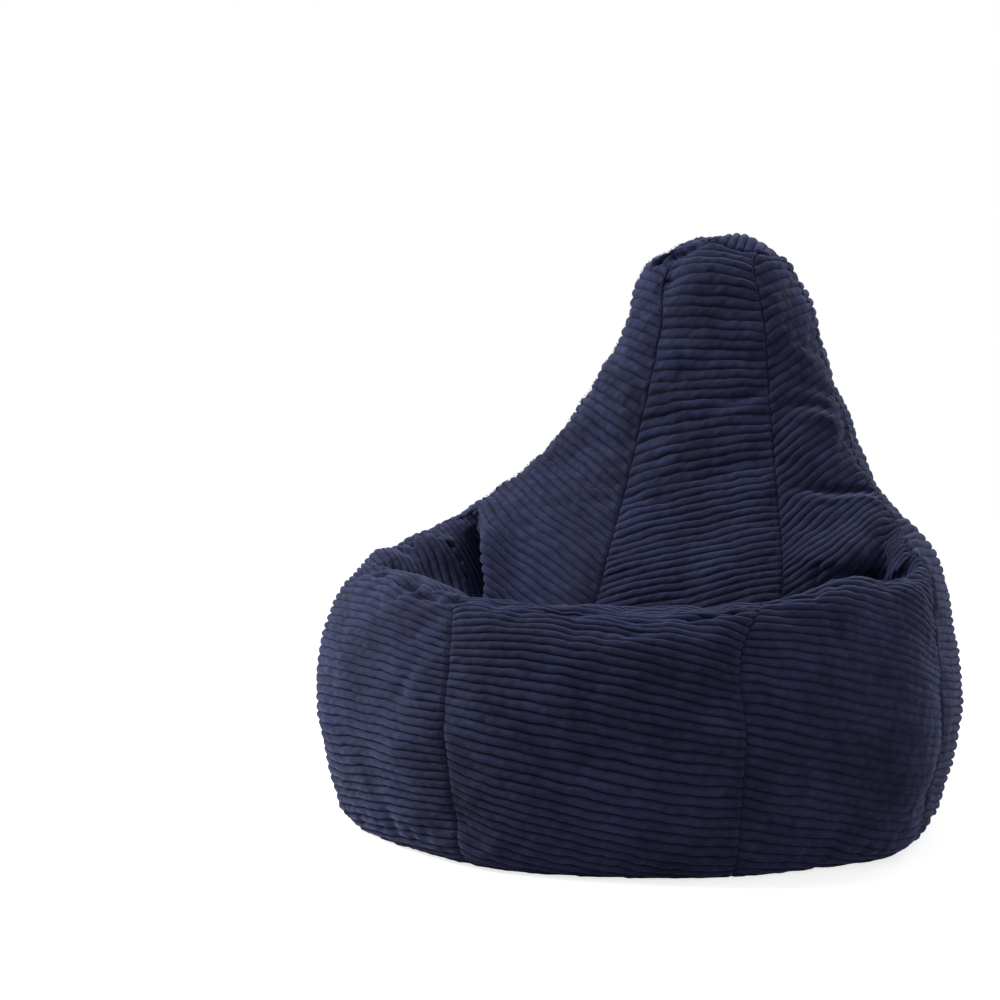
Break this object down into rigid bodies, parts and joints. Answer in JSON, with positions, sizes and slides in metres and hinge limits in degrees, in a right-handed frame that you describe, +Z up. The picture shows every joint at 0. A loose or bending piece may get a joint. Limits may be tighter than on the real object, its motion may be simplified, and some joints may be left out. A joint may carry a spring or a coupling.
{
  "type": "bean bag chair",
  "caption": "Six-panel teardrop bean bag chair in ribbed cord, with a seat hollow, a raised front rim, a tall backrest, a crown cap and a zip at the back.",
  "frame": {"origin": "on the floor, at the centre of the round base", "axes": "+Z up; the sitter faces -Y, with the seat hollow at the front and the backrest towards +Y"},
  "size_m": [0.8805, 0.8803, 0.8191],
  "materials": {
    "navy_cord": "jumbo cord with a brushed, velvet-like pile",
    "navy_binding": "woven tape",
    "navy_tape": "woven zip tape",
    "liner_tape": "woven zip tape",
    "liner_cloth": "non-woven cloth",
    "label_cloth": "satin tape, blank",
    "polystyrene_beads": "loose expanded beads",
    "zip_elements": "moulded",
    "zip_metal": "dark enamel"
  },
  "bodies": {
    "bag": {"front_gore": "navy_cord", "front_right_gore": "navy_cord", "back_right_gore": "navy_cord", "back_gore": "navy_cord", "back_left_gore": "navy_cord", "front_left_gore": "navy_cord", "crown_cap": "navy_cord", "base_panel": "navy_cord", "zip_garage": "navy_cord", "care_label": "label_cloth", "bead_fill": "polystyrene_beads", "liner_wall": "liner_cloth", "liner_base": "liner_cloth", "gore_seam_bindings": "navy_binding", "base_seam_binding": "navy_binding", "crown_seam_binding": "navy_binding", "cover_zip_tape_upper": "navy_tape", "cover_zip_tape_lower": "navy_tape", "cover_zip_elements_upper": "zip_elements", "cover_zip_elements_lower": "zip_elements", "cover_zip_stop_start": "zip_metal", "cover_zip_stop_end": "zip_metal", "liner_zip_tape_upper": "liner_tape", "liner_zip_tape_lower": "liner_tape", "liner_zip_elements_upper": "zip_elements", "liner_zip_elements_lower": "zip_elements", "liner_zip_stop_start": "zip_metal", "liner_zip_stop_end": "zip_metal"},
    "cover_slider": {"cover_zip_slider": "zip_metal"},
    "liner_slider": {"liner_zip_slider": "zip_metal"}
  },
  "joints": [
    {"name": "cover_zip_run", "type": "hinge", "parent": "bag", "child": "cover_slider", "pos_m": [0, 0, 0.055], "axis": [0, 0, 1], "range_deg": [0, 48.7]},
    {"name": "liner_zip_run", "type": "hinge", "parent": "bag", "child": "liner_slider", "pos_m": [0, 0, 0.11], "axis": [0, 0, 1], "range_deg": [0, 36.8]}
  ]
}
